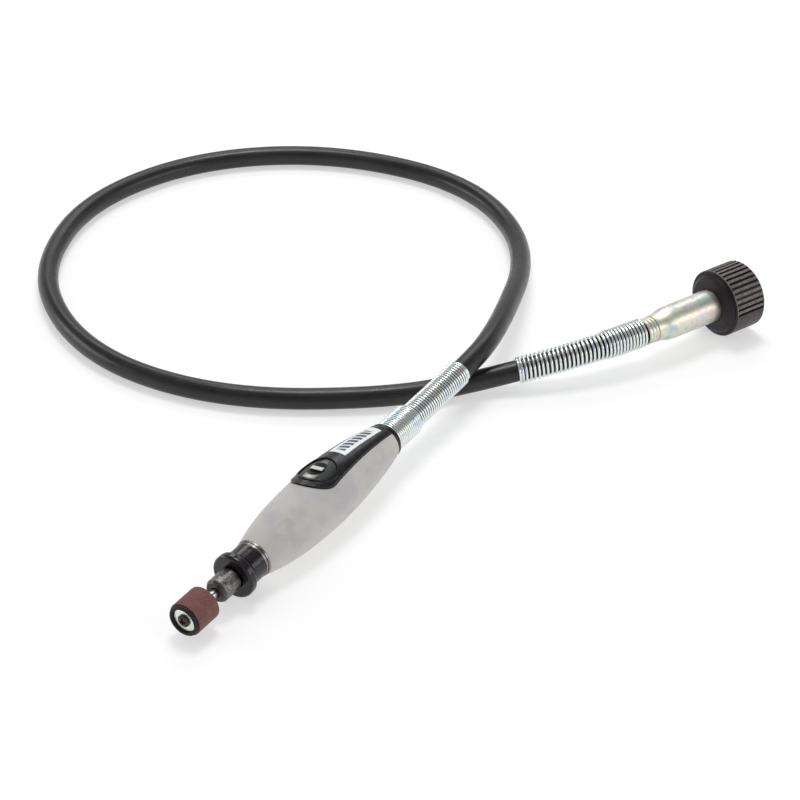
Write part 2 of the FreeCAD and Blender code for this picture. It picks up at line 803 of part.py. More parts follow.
def sanding_drum():
    """A rubber drum that bulges past its sanding band, round a sunk washer and its screw."""
    front = "(drum_rear + drum_length)"
    crest = f"({front} - rubber_round)"
    bed = f"({front} - washer_depth - washer_thickness)"
    turned("rubber_drum", [
        ("drum_rear", "shank_radius - fit_gap"),
        ("drum_rear", "rubber_radius - 0.4"),
        ("drum_rear + 0.4", "rubber_radius"),
        (crest, "rubber_radius", "rubber_round", LEFT),
        (front, "rubber_radius - rubber_round"),
        (f"{front} - 0.3", "washer_radius + running_gap"),
        (bed, "washer_radius + running_gap"),
        (bed, "shank_radius - fit_gap"),
    ], HANDPIECE)
    turned("sanding_band", [
        ("drum_rear", "band_bore"),
        ("drum_rear", "drum_radius"),
        ("drum_rear + band_length", "drum_radius"),
        ("drum_rear + band_length", "band_bore"),
    ], HANDPIECE)
    turned("drum_washer", [
        (bed, "1.15"),
        (bed, "washer_radius"),
        (f"{bed} + washer_thickness - 0.2", "washer_radius"),
        (f"{bed} + washer_thickness", "washer_radius - 0.2"),
        (f"{bed} + washer_thickness", "1.15"),
    ], HANDPIECE)
    seat = f"({bed} + washer_thickness + 0.02)"
    screw = turned("drum_screw", [
        ("drum_rear + 4", "0"),
        ("drum_rear + 4", "0.95"),
        (seat, "0.95"),
        (seat, "screw_radius"),
        (f"{seat} + 0.6", "screw_radius", "3.2", LEFT),
        (f"{seat} + 1.3", "0"),
    ], HANDPIECE)
    for plane in ("XY_Plane", "XZ_Plane"):
        recess = new_sketch(screw, "recess_" + plane[:2].lower(), plane)
        outline(recess, [
            (f"{seat} + 2", "-1.5"),
            (f"{seat} + 2", "1.5"),
            (f"{seat} + 0.9", "1.3"),
            (f"{seat} + 0.2", "0.4"),
            (f"{seat} + 0.2", "-0.4"),
            (f"{seat} + 0.9", "-1.3"),
        ])
        pocket(screw, "cross_" + plane[:2].lower(), recess, "0.7", midplane=True)


# drive end

def drive_ferrule():
    """A necked tube: a serrated end for the spring, a soft shoulder, a plain barrel and the nut's flange."""
    middle = "(ferrule_taper / 2 + ferrule_shoulder / 2)"
    waist = "(ferrule_neck / 2 + ferrule_radius / 2)"
    points = [("ferrule_rear", "jacket_diameter / 2 + running_gap")]
    for ring in range(3):
        start = f"ferrule_rear + {ring * 1.6:.1f}"
        points += [
            (start, "ferrule_neck - 0.5"),
            (f"{start} + 0.3", "ferrule_neck - 0.15"),
            (f"{start} + 1.1", "ferrule_neck - 0.15"),
            (f"{start} + 1.4", "ferrule_neck - 0.5"),
        ]
    points += [
        ("ferrule_taper", "ferrule_neck - 0.5"),
        ("ferrule_taper", "ferrule_neck", "14", RIGHT),
        (middle, waist, "14", LEFT),
        ("ferrule_shoulder", "ferrule_radius"),
        ("ferrule_flange_rear", "ferrule_radius"),
        ("ferrule_flange_rear", "ferrule_flange"),
        ("ferrule_front", "ferrule_flange"),
        ("ferrule_front", "bush_bore"),
        ("bush_rear - 3", "bush_bore"),
        ("bush_rear - 3", "jacket_bore / 2 + running_gap"),
        ("jacket_end + running_gap", "jacket_bore / 2 + running_gap"),
        ("jacket_end + running_gap", "jacket_diameter / 2 + running_gap"),
    ]
    turned("drive_ferrule", points, HERE)


def drive_bush():
    turned("drive_bush", [
        ("bush_rear", "sleeve_radius + fit_gap"),
        ("bush_rear", "bush_bore - 0.03"),
        ("bush_front", "bush_bore - 0.03"),
        ("bush_front", "sleeve_radius + fit_gap"),
    ], HERE)
    turned("bush_circlip", [
        ("bush_front + running_gap", "sleeve_radius + 0.7"),
        ("bush_front + running_gap", "bush_bore - 0.03"),
        ("bush_front + 1.1", "bush_bore - 0.03"),
        ("bush_front + 1.1", "sleeve_radius + 0.7"),
    ], HERE)


def drive_sleeve():
    body = turned("drive_sleeve", [
        ("bush_rear - 2", "0"),
        ("bush_rear - 2", "sleeve_radius + 1.2"),
        ("bush_rear - 0.3", "sleeve_radius + 1.2"),
        ("bush_rear - 0.3", "sleeve_radius"),
        ("bush_front + 0.6", "sleeve_radius"),
        ("bush_front + 0.6", "0"),
    ], HERE)
    square_hole(body, "bore", "bush_rear - 3", "socket_square", "bush_front - bush_rear + 6")
    square_bar("core_end", "core_end_rear", "square", "core_end_length", HERE)


def coupling_nut():
    """The nut has two rows of ribs with a smooth pad between them on each side."""
    rear = "(coupling_mouth - coupling_length)"
    step = "(-rib_length - 0.7)"
    row = "(ribs_in_row - 1) * 360 / rib_count"
    lean = value(f"pad_angle - 90 - {row} / 2")
    place = FreeCAD.Placement(FreeCAD.Vector(), FreeCAD.Rotation(AXIS, lean))
    body = turned("coupling_nut", [
        (rear, "coupling_hole"),
        (rear, "coupling_radius - coupling_rear - 0.8"),
        (f"{rear} + 0.6", "coupling_radius - coupling_rear", "9", LEFT),
        (step, "coupling_radius - coupling_step"),
        (step, "coupling_radius - 0.4"),
        (f"{step} + 0.4", "coupling_radius"),
        ("coupling_mouth - coupling_round", "coupling_radius"),
        ("coupling_mouth", "coupling_radius - coupling_round"),
        ("coupling_mouth", "thread_bore + 0.8"),
        ("0", "thread_bore"),
        ("-thread_length", "thread_bore"),
        ("-thread_length", "relief_radius"),
        ("-coupling_end_wall", "relief_radius"),
        ("-coupling_end_wall", "coupling_hole"),
    ], place)
    gap = new_sketch(body, "rib_gap_outline", "YZ_Plane")
    for side in ("", "-"):
        outline(gap, [
            ("-rib_gap / 2", f"{side}coupling_valley"),
            ("rib_gap / 2", f"{side}coupling_valley"),
            ("rib_gap * 0.8", f"{side}(coupling_radius + 0.5)"),
            ("-rib_gap * 0.8", f"{side}(coupling_radius + 0.5)"),
        ])
    raised(gap, "-rib_length")
    first = pocket(body, "rib_gap", gap, "rib_length + 3")
    round_pattern(body, first, "N_Axis", row, "ribs_in_row")


# flexible shaft

def on_handpiece(along):
    return HANDPIECE.multVec(FreeCAD.Vector(along, 0, 0))


LYING = FLOOR + SIZES["jacket_diameter"] / 2
ROUTE = [
    on_handpiece(-2),
    on_handpiece(-80),
    FreeCAD.Vector(-35.5, 88.5, LYING),
    FreeCAD.Vector(-22, 148, LYING),
    FreeCAD.Vector(-53, 205, LYING),
    FreeCAD.Vector(-105, 235, LYING),
    FreeCAD.Vector(-163, 231, LYING),
    FreeCAD.Vector(-206, 195, LYING),
    FreeCAD.Vector(-223, 150, LYING),
    FreeCAD.Vector(-220, 106, LYING),
    FreeCAD.Vector(-195, 64, LYING),
    FreeCAD.Vector(-149, 32, LYING),
    FreeCAD.Vector(-116, 21, -9),
    FreeCAD.Vector(-66, 0, 0),
    FreeCAD.Vector(SIZES["jacket_end"], 0, 0),
]


def runs_and_arcs(route, lead_in=0.0, lead_out=0.0):
    """Edges of straight runs joined by tangent arcs, each as large as its two runs allow.
    The first and last runs can be made longer or shorter along their own lines."""
    edges = []
    radii = []
    place = route[0] + (route[0] - route[1]).normalize() * lead_in
    for before, corner, after in zip(route, route[1:], route[2:]):
        back = before - corner
        on = after - corner
        turn = math.pi - back.getAngle(on)
        reach = 0.45 * min(back.Length, on.Length)
        back.normalize()
        on.normalize()
        radius = reach / math.tan(turn / 2)
        inward = (back + on).normalize()
        middle = corner + inward * (radius / math.cos(turn / 2) - radius)
        start = corner + back * reach
        end = corner + on * reach
        edges.append(Part.LineSegment(place, start).toShape())
        edges.append(Part.Arc(start, middle, end).toShape())
        radii.append(radius)
        place = end
    last = route[-1] + (route[-1] - route[-2]).normalize() * lead_out
    edges.append(Part.LineSegment(place, last).toShape())
    return edges, radii


def tube(label, edges, outer, inner):
    """A tube along the edges. Its volume is compared with its section times its length."""
    path = Part.Wire(edges)
    start = path.Vertexes[0].Point
    heading = edges[0].tangentAt(edges[0].FirstParameter)
    solid = path.makePipe(Part.Face(Part.Wire(Part.makeCircle(outer / 2, start, heading))))
    section = math.pi * (outer * outer - inner * inner) / 4
    if inner:
        solid = solid.cut(path.makePipe(Part.Face(Part.Wire(Part.makeCircle(inner / 2, start, heading)))))
    wanted = section * path.Length
    print(f"{label}: length {path.Length:.1f}, volume {solid.Volume:.1f}, wanted {wanted:.1f}")
    if abs(solid.Volume - wanted) > 0.01 * wanted:
        raise RuntimeError(f"{label}: the tube's volume is wrong")
    feature(label, solid, HERE)


def flexible_shaft():
    edges, radii = runs_and_arcs(ROUTE)
    print("casing arc radii", [round(radius) for radius in radii])
    tube("casing", edges, SIZES["jacket_diameter"], SIZES["jacket_bore"])
    edges, _ = runs_and_arcs(ROUTE, SIZES["liner_lead"], SIZES["core_stop"])
    tube("casing_liner", edges, SIZES["liner_diameter"], SIZES["liner_bore"])
    edges, _ = runs_and_arcs(ROUTE, SIZES["core_lead"], SIZES["core_stop"])
    tube("flex_core", edges, SIZES["core_diameter"], 0.0)


def drive_spring():
    """The sleeve of space that the spring's coils fill, along the casing and up to the ferrule."""
    edges, _ = runs_and_arcs(ROUTE, 0.0, value("ferrule_rear - running_gap - jacket_end"))
    tube("drive_spring", edges[-3:], SIZES["spring_bore"] + 2 * SIZES["spring_wire"], SIZES["spring_bore"])


def handpiece_end():
    """The ferrule that grips the casing, and the sleeve of space that the spring's coils fill."""
    slim = "spring_bore / 2"
    wide = "cap_bore + 0.7"
    turned("handpiece_ferrule", [
        ("-root_length", "jacket_diameter / 2 + fit_gap"),
        ("-root_length", "cap_bore + 0.6"),
        ("-0.1", "cap_bore + 0.6"),
        ("-0.1", "cap_bore - fit_gap"),
        ("spindle_rear - 3", "cap_bore - fit_gap"),
        ("spindle_rear - 3", "jacket_bore / 2 + running_gap"),
        ("-casing_depth", "jacket_bore / 2 + running_gap"),
        ("-casing_depth", "jacket_diameter / 2 + fit_gap"),
    ], HANDPIECE)
    turned("handpiece_spring", [
        ("-spring_rear", slim),
        ("-spring_rear", f"{slim} + spring_wire"),
        ("-root_length - root_taper", f"{slim} + spring_wire"),
        ("-root_length - 0.5", f"{wide} + spring_wire"),
        ("-0.3", f"{wide} + spring_wire"),
        ("-0.3", wide),
        ("-root_length - running_gap", wide),
        ("-root_length - running_gap", slim),
    ], HANDPIECE)
    square_bar("core_drive_square", "spindle_rear - 4.5", "square", "13", HANDPIECE)


soft_grip()
handle_housing()
label_plate()
lock_button()
lock_pin()
lock_spring()
rear_end_cap()
preload_washer()
nose_piece()
trim_rings()
spindle()
bearing_circlip()
bearing("rear")
bearing("front")
collet()
collet_nut()
mandrel()
sanding_drum()
handpiece_end()
flexible_shaft()
drive_spring()
drive_ferrule()
drive_bush()
drive_sleeve()
coupling_nut()
doc.recompute()

pieces = [one for one in doc.Objects if one.TypeId in ("PartDesign::Body", "Part::Feature")]
for one in doc.Objects:
    if "Invalid" in one.State or "Error" in one.State:
        raise RuntimeError(f"{one.Label}: {one.State}")
os.makedirs("parts", exist_ok=True)
for piece in pieces:
    if piece.Shape.isNull() or not piece.Shape.isValid():
        raise RuntimeError(f"{piece.Label}: its shape is null or not valid")
    piece.Shape.exportStep(f"parts/{piece.Label}.step")
print(len(pieces), "pieces")
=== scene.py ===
"""Looks of a flexible shaft attachment for a rotary tool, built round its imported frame. Metres.

The coupling nut's thread begins at the origin and runs along X, with the nut open towards +X.
The black casing leaves the ferrule, lies on the table in one big loop and comes back up into
the handpiece, whose own axis runs away from its rear ring towards the sanding drum.
"""

import json
import math
import random

import bmesh
import bpy
from mathutils import Matrix, Vector, noise


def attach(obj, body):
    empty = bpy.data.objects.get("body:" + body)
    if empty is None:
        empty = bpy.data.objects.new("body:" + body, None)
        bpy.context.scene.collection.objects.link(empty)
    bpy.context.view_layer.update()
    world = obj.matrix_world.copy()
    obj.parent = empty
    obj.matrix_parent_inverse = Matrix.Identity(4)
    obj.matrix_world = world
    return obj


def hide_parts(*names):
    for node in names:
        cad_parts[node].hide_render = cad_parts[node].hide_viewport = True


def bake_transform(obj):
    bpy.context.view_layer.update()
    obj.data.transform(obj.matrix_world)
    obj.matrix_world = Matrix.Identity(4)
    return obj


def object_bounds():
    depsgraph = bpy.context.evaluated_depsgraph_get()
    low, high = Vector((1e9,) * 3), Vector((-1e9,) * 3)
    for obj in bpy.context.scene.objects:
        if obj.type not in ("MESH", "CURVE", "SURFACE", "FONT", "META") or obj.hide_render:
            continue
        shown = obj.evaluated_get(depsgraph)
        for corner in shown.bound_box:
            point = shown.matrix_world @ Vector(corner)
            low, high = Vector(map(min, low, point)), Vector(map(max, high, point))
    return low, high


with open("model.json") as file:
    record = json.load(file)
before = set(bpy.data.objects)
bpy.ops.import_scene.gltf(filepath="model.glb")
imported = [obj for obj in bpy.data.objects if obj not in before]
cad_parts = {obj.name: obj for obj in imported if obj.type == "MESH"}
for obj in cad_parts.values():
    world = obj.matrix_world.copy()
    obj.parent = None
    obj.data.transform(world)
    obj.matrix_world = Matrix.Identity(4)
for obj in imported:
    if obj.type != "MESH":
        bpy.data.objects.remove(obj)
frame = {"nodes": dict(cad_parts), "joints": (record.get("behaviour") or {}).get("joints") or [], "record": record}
cad_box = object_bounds()

MM = 0.001
FLOOR = cad_box[0][2]

# ---------------------------------------------------------------- the handpiece's own axes

SPINDLE_STATION = 60 * MM
joints = {joint["name"]: joint for joint in frame["joints"]}
ALONG = Vector(joints["spindle_spin"]["axis"]).normalized()
UP = -Vector(joints["button_press"]["axis"]).normalized()
ACROSS = UP.cross(ALONG)
REAR_RING = Vector(joints["spindle_spin"]["pos_m"]) - ALONG * SPINDLE_STATION
HANDPIECE = Matrix((ALONG, ACROSS, UP)).transposed()


def on_handpiece(station):
    """The point of the handpiece's axis at this many millimetres in front of its rear ring."""
    return REAR_RING + ALONG * station * MM


# ---------------------------------------------------------------- camera

VIEW_AZIMUTH = -36.0
VIEW_ELEVATION = 33.3
VIEW_AIM = Vector((-0.1425, 0.0333, -0.0134))
VIEW_DISTANCE = 1.0084
VIEW_LENS = 119.5


def make_camera():
    """A long lens from the front left, looking down on the loop."""
    azimuth = math.radians(VIEW_AZIMUTH)
    elevation = math.radians(VIEW_ELEVATION)
    back = Vector((
        math.sin(azimuth) * math.cos(elevation),
        -math.cos(azimuth) * math.cos(elevation),
        math.sin(elevation),
    ))
    data = bpy.data.cameras.new("camera")
    data.lens = VIEW_LENS
    data.sensor_width = 36.0
    data.clip_start = 0.01
    data.clip_end = 20.0
    camera = bpy.data.objects.new("camera", data)
    camera.location = VIEW_AIM + back * VIEW_DISTANCE
    camera.rotation_euler = back.to_track_quat("Z", "Y").to_euler()
    bpy.context.scene.collection.objects.link(camera)
    bpy.context.scene.camera = camera


make_camera()

# ---------------------------------------------------------------- the cord's line

CASING_DIAMETER = 8.3 * MM
CASING_WALL = 1.05 * MM
LINER_RADIUS = 3.05 * MM
LINER_WALL = 0.85 * MM
CORE_RADIUS = 1.9 * MM
LYING = -9.25

ROUTE = [
    on_handpiece(-2),
    on_handpiece(-50),
    on_handpiece(-80) + Vector((0, 3.5, 0)) * MM,
    Vector((-35.5, 88.5, LYING)) * MM,
    Vector((-22, 148, LYING)) * MM,
    Vector((-53, 205, LYING)) * MM,
    Vector((-105, 235, LYING)) * MM,
    Vector((-163, 231, LYING)) * MM,
    Vector((-206, 195, LYING)) * MM,
    Vector((-223, 150, LYING)) * MM,
    Vector((-220, 106, LYING)) * MM,
    Vector((-195, 64, LYING)) * MM,
    Vector((-149, 32, LYING)) * MM,
    Vector((-116, 21, -9)) * MM,
    Vector((-66, 0, 0)) * MM,
    Vector((-34, 0, 0)) * MM,
]


def add_object(name, data):
    thing = bpy.data.objects.new(name, data)
    bpy.context.scene.collection.objects.link(thing)
    return thing


def route_curve(name, radius, sides=10):
    """A round curve along the whole route, or its bare line where the radius is 0."""
    data = bpy.data.curves.new(name, "CURVE")
    data.dimensions = "3D"
    spline = data.splines.new("NURBS")
    spline.points.add(len(ROUTE) - 1)
    for knot, point in zip(spline.points, ROUTE):
        knot.co = (*point, 1.0)
    spline.order_u = 3
    spline.use_endpoint_u = True
    spline.resolution_u = 24
    data.bevel_depth = radius
    data.bevel_resolution = sides
    return add_object(name, data)


def hollow(curve, wall):
    """Gives a round curve its tube wall, inwards from the surface."""
    shell = curve.modifiers.new("wall", "SOLIDIFY")
    shell.thickness = wall
    shell.offset = -1.0


casing = route_curve("casing_tube", CASING_DIAMETER / 2, 14)
hollow(casing, CASING_WALL)
liner = route_curve("casing_wound_liner", LINER_RADIUS, 8)
hollow(liner, LINER_WALL)
core = route_curve("flex_core_rope", CORE_RADIUS, 6)
core.data.use_fill_caps = True


class Line:
    """The route's own line read back as points, for the pieces that follow it."""

    def __init__(self):
        bare = route_curve("route_line", 0.0)
        bpy.context.view_layer.update()
        reader = bpy.context.evaluated_depsgraph_get()
        mesh = bpy.data.meshes.new_from_object(bare.evaluated_get(reader))
        self.points = [vertex.co.copy() for vertex in mesh.vertices]
        bpy.data.meshes.remove(mesh)
        bpy.data.curves.remove(bare.data)
        self.lengths = [0.0]
        for near, far in zip(self.points, self.points[1:]):
            self.lengths.append(self.lengths[-1] + (far - near).length)

    def at(self, length):
        """The point and the forward direction at this length, straight on beyond the ends."""
        last = len(self.points) - 2
        step = 0
        while step < last and self.lengths[step + 1] < length:
            step += 1
        near = self.points[step]
        forward = (self.points[step + 1] - near).normalized()
        return near + forward * (length - self.lengths[step]), forward

    def nearest(self, place):
        """The length at which the line passes nearest to a place."""
        step = min(range(len(self.points)), key=lambda i: (self.points[i] - place).length)
        return self.lengths[step]


line = Line()

# ---------------------------------------------------------------- spring coils

TURN_STEPS = 28


def blend(low, high, share):
    """From low to high with a soft start and end, as share goes from 0 to 1."""
    share = min(max(share, 0.0), 1.0)
    return low + (high - low) * share * share * (3 - 2 * share)


def wound_wire(name, start, end, wire, profile):
    """A wire coil round the line, from one length to another.

    profile gives the radius at the wire's middle and the pitch at a distance from the start.
    """
    sense = 1 if end > start else -1
    span = abs(end - start) - wire
    reached = wire / 2
    angle = 0.0
    forward = line.at(start)[1]
    side = forward.orthogonal().normalized()
    places = []
    while reached < span:
        point, forward = line.at(start + sense * reached)
        side = (side - forward * side.dot(forward)).normalized()
        other = forward.cross(side)
        radius, pitch = profile(reached)
        places.append(point + (side * math.cos(angle) + other * math.sin(angle)) * radius)
        angle += 2 * math.pi / TURN_STEPS
        reached += pitch / TURN_STEPS
    data = bpy.data.curves.new(name, "CURVE")
    data.dimensions = "3D"
    spline = data.splines.new("POLY")
    spline.points.add(len(places) - 1)
    for knot, place in zip(spline.points, places):
        knot.co = (*place, 1.0)
    data.bevel_depth = wire / 2
    data.bevel_resolution = 3
    data.use_fill_caps = True
    return add_object(name, data)


HANDLE_WIRE = 0.88 * MM
HANDLE_SPRING_REAR = 50 * MM
HANDLE_SPRING_FRONT = 0.3 * MM
HANDLE_ROOT = 14 * MM
HANDLE_TAPER = 1.6 * MM
HANDLE_ROOT_RADIUS = 5.76 * MM
HANDLE_FREE_RADIUS = 4.62 * MM
HANDLE_ROOT_PITCH = 1.04 * MM
HANDLE_FREE_PITCH = 1.3 * MM
HANDLE_LAST_TURNS = 2.2 * MM


def handle_spring_profile(reached):
    """Close turns on the ferrule, then slimmer and slightly open turns on the casing."""
    share = (reached - HANDLE_ROOT) / HANDLE_TAPER
    radius = blend(HANDLE_ROOT_RADIUS, HANDLE_FREE_RADIUS, share)
    pitch = blend(HANDLE_ROOT_PITCH, HANDLE_FREE_PITCH, share)
    left = HANDLE_SPRING_REAR - HANDLE_SPRING_FRONT - reached
    if left < HANDLE_LAST_TURNS:
        pitch = HANDLE_WIRE * 1.02
    return radius, pitch


handle_start = HANDLE_SPRING_FRONT - (REAR_RING - ROUTE[0]).length
handle_spring = wound_wire(
    "handpiece_coil",
    handle_start,
    handle_start + HANDLE_SPRING_REAR - HANDLE_SPRING_FRONT,
    HANDLE_WIRE,
    handle_spring_profile,
)

DRIVE_WIRE = 1.06 * MM
DRIVE_SPRING_START = Vector((-51.3, 0, 0)) * MM
DRIVE_SPRING_LENGTH = 53.5 * MM
DRIVE_CLOSE = 15.4 * MM
DRIVE_TAPER = 3 * MM
DRIVE_CLOSE_RADIUS = 5.2 * MM
DRIVE_OPEN_RADIUS = 4.74 * MM
DRIVE_CLOSE_PITCH = 1.39 * MM
DRIVE_OPEN_PITCH = 1.68 * MM
DRIVE_LAST_TURNS = 2.8 * MM


def drive_spring_profile(reached):
    """Wide close turns beside the ferrule, then slimmer open turns along the casing."""
    share = (reached - DRIVE_CLOSE) / DRIVE_TAPER
    radius = blend(DRIVE_CLOSE_RADIUS, DRIVE_OPEN_RADIUS, share)
    pitch = blend(DRIVE_CLOSE_PITCH, DRIVE_OPEN_PITCH, share)
    left = DRIVE_SPRING_LENGTH - reached
    if left < DRIVE_LAST_TURNS:
        pitch = DRIVE_WIRE * 1.03
    return radius, pitch


drive_start = line.nearest(DRIVE_SPRING_START)
drive_spring = wound_wire(
    "drive_coil",
    drive_start,
    drive_start - DRIVE_SPRING_LENGTH,
    DRIVE_WIRE,
    drive_spring_profile,
)

# ---------------------------------------------------------------- sanding band

BAND_RADIUS = 6.35 * MM
BAND_BORE = 5.95 * MM
BAND_REAR = 108.3
BAND_FRONT = 119.0
BAND_ROUND = 264
BAND_ALONG = 84
GRIT_SIZE = 0.16 * MM
GRIT_HEIGHT = 0.035 * MM
GRIT_SEED = 7
LAP_ANGLE = 2.6
LAP_SLANT = 1.1
LAP_WIDTH = 0.035
LAP_STEP = 0.05 * MM
EDGE_WIDTH = 0.12 * MM
EDGE_DROP = 0.6 * GRIT_SIZE


def make_band():
    """A paper sleeve with a grit coat on the outside and a slanting lap where it was joined."""
    mesh = bmesh.new()
    grain = random.Random(GRIT_SEED)
    length = (BAND_FRONT - BAND_REAR) * MM
    turns = [2 * math.pi * turn / BAND_ROUND for turn in range(BAND_ROUND)]
    outwards = [ACROSS * math.cos(angle) + UP * math.sin(angle) for angle in turns]
    rings = []
    for step in range(BAND_ALONG + 1):
        share = step / BAND_ALONG
        middle = on_handpiece(BAND_REAR) + ALONG * length * share
        edge = min(share, 1 - share) * length
        ring = []
        for angle, outward in zip(turns, outwards):
            place = middle + outward * BAND_RADIUS
            height = noise.noise(place / GRIT_SIZE) * GRIT_HEIGHT
            height += grain.uniform(-0.4, 0.4) * GRIT_HEIGHT
            lap = (angle + share * LAP_SLANT) % (2 * math.pi)
            height -= LAP_STEP * math.exp(-((lap - LAP_ANGLE) / LAP_WIDTH) ** 2)
            height -= EDGE_DROP * math.exp(-edge / EDGE_WIDTH)
            ring.append(mesh.verts.new(place + outward * (height - GRIT_HEIGHT)))
        rings.append(ring)
    for share in (1.0, 0.0):
        middle = on_handpiece(BAND_REAR) + ALONG * length * share
        rings.append([mesh.verts.new(middle + outward * BAND_BORE) for outward in outwards])
    for near, far in zip(rings, rings[1:] + rings[:1]):
        for turn in range(BAND_ROUND):
            after = (turn + 1) % BAND_ROUND
            mesh.faces.new((near[turn], near[after], far[after], far[turn]))
    bmesh.ops.recalc_face_normals(mesh, faces=mesh.faces)
    data = bpy.data.meshes.new("sanding_sleeve")
    mesh.to_mesh(data)
    mesh.free()
    return add_object("sanding_sleeve", data)


band = make_band()

# ---------------------------------------------------------------- spindle lock spring

lock_coil = add_object("lock_coil", frame["nodes"]["lock_spring"].data.copy())

# ---------------------------------------------------------------- materials


class Finish:
    """A Principled material whose noise, ramps and bumps are added one by one.

    Its coordinates are millimetres, in the shared frame or in the handpiece's own axes.
    """

    def __init__(self, name, roughness=0.5, metallic=0.0, coat=0.0, local=False):
        self.material = bpy.data.materials.new(name)
        self.material.use_nodes = True
        self.tree = self.material.node_tree
        self.shader = self.tree.nodes["Principled BSDF"]
        self.shader.inputs["Roughness"].default_value = roughness
        self.shader.inputs["Metallic"].default_value = metallic
        self.shader.inputs["Coat Weight"].default_value = coat
        self.shader.inputs["Coat Roughness"].default_value = 0.08
        self.last_bump = None
        source = self.node("ShaderNodeTexCoord").outputs["Object"]
        scale = self.node("ShaderNodeMapping")
        scale.vector_type = "TEXTURE"
        scale.inputs["Scale"].default_value = (MM, MM, MM)
        if local:
            scale.inputs["Location"].default_value = REAR_RING
            scale.inputs["Rotation"].default_value = HANDPIECE.to_euler()
        self.link(source, scale.inputs["Vector"])
        self.place = scale.outputs["Vector"]

    def node(self, kind, **settings):
        """A new shader node with its settings."""
        made = self.tree.nodes.new(kind)
        for key, value in settings.items():
            setattr(made, key, value)
        return made

    def link(self, source, target):
        self.tree.links.new(source, target)

    def noise(self, size, detail=3.0, stretch=(1, 1, 1), crisp=0.55):
        """A noise whose lumps are about this many millimetres across."""
        squeeze = self.node("ShaderNodeMapping")
        squeeze.inputs["Scale"].default_value = [1 / (size * k) for k in stretch]
        self.link(self.place, squeeze.inputs["Vector"])
        made = self.node("ShaderNodeTexNoise")
        made.inputs["Scale"].default_value = 1.0
        made.inputs["Detail"].default_value = detail
        made.inputs["Roughness"].default_value = crisp
        self.link(squeeze.outputs["Vector"], made.inputs["Vector"])
        return made.outputs["Fac"]

    def cells(self, size):
        """Round cells of about this many millimetres."""
        made = self.node("ShaderNodeTexVoronoi")
        made.inputs["Scale"].default_value = 1 / size
        self.link(self.place, made.inputs["Vector"])
        return made.outputs["Distance"]

    def axis(self, name):
        """One coordinate of the place, X, Y or Z, in millimetres."""
        split = self.node("ShaderNodeSeparateXYZ")
        self.link(self.place, split.inputs["Vector"])
        return split.outputs[name]

    def maths(self, operation, first, second=None, third=None):
        made = self.node("ShaderNodeMath", operation=operation)
        for socket, value in zip(made.inputs, (first, second, third)):
            if isinstance(value, (int, float)):
                socket.default_value = value
            elif value is not None:
                self.link(value, socket)
        return made.outputs["Value"]

    def radius(self):
        """The distance from the local X axis, in millimetres."""
        y = self.axis("Y")
        z = self.axis("Z")
        squares = self.maths("MULTIPLY_ADD", y, y, self.maths("MULTIPLY", z, z))
        return self.maths("SQRT", squares)

    def span(self, value, low, high, to_low=0.0, to_high=1.0):
        """The value's place between low and high, carried over to another range."""
        made = self.node("ShaderNodeMapRange")
        self.link(value, made.inputs["Value"])
        made.inputs["From Min"].default_value = low
        made.inputs["From Max"].default_value = high
        made.inputs["To Min"].default_value = to_low
        made.inputs["To Max"].default_value = to_high
        return made.outputs["Result"]

    def ramp(self, value, *stops):
        """A colour ramp; each stop is a place from 0 to 1 and a linear colour."""
        made = self.node("ShaderNodeValToRGB")
        elements = made.color_ramp.elements
        while len(elements) < len(stops):
            elements.new(0.5)
        for element, (place, colour) in zip(elements, stops):
            element.position = place
            element.color = (*colour, 1.0)
        self.link(value, made.inputs["Fac"])
        return made.outputs["Color"]

    def mix(self, share, first, second):
        """One colour turning into another as share goes from 0 to 1."""
        made = self.node("ShaderNodeMix", data_type="RGBA")
        for socket, value in zip((made.inputs[6], made.inputs[7]), (first, second)):
            if isinstance(value, tuple):
                socket.default_value = (*value, 1.0)
            else:
                self.link(value, socket)
        self.link(share, made.inputs[0])
        return made.outputs[2]

    def shine(self, level):
        """How strongly a surface that isn't metal reflects; 0.5 is plain plastic."""
        self.shader.inputs["Specular IOR Level"].default_value = level
        return self

    def colour(self, value):
        self.link(value, self.shader.inputs["Base Color"])
        return self

    def rough(self, value, low, high):
        """A roughness between low and high that follows a noise."""
        self.link(self.span(value, 0.3, 0.7, low, high), self.shader.inputs["Roughness"])
        return self

    def bump(self, height, depth, strength=1.0):
        """Relief of this depth in millimetres, added to the reliefs before it."""
        made = self.node("ShaderNodeBump")
        made.inputs["Strength"].default_value = strength
        made.inputs["Distance"].default_value = depth * MM
        self.link(height, made.inputs["Height"])
        if self.last_bump:
            self.link(self.last_bump, made.inputs["Normal"])
        self.last_bump = made.outputs["Normal"]
        self.link(self.last_bump, self.shader.inputs["Normal"])
        return self


def jacket_finish():
    """Extruded black sheath: satin and dusty."""
    made = Finish("satin_black_sheath", 0.4).shine(0.4)
    cloud = made.noise(14)
    dust = made.noise(1.6, 5)
    tone = made.ramp(cloud, (0.3, (0.010, 0.0085, 0.009)), (0.7, (0.019, 0.017, 0.018)))
    speck = made.span(dust, 0.62, 0.8, 0.0, 0.35)
    made.colour(made.mix(speck, tone, (0.045, 0.042, 0.042)))
    made.rough(made.noise(5, 4), 0.25, 0.38)
    made.bump(made.noise(0.35, 2), 0.012)
    made.bump(made.noise(6, 2), 0.05)
    return made.material


def liner_finish():
    """Flat steel wire wound into a hose; its turns show at the open ends."""
    made = Finish("wound_steel_wire", 0.35, 1.0)
    made.colour(made.ramp(made.noise(0.8), (0.3, (0.30, 0.30, 0.31)), (0.7, (0.52, 0.52, 0.52))))
    made.rough(made.noise(0.5), 0.28, 0.5)
    made.bump(made.noise(0.3, 2), 0.03)
    return made.material


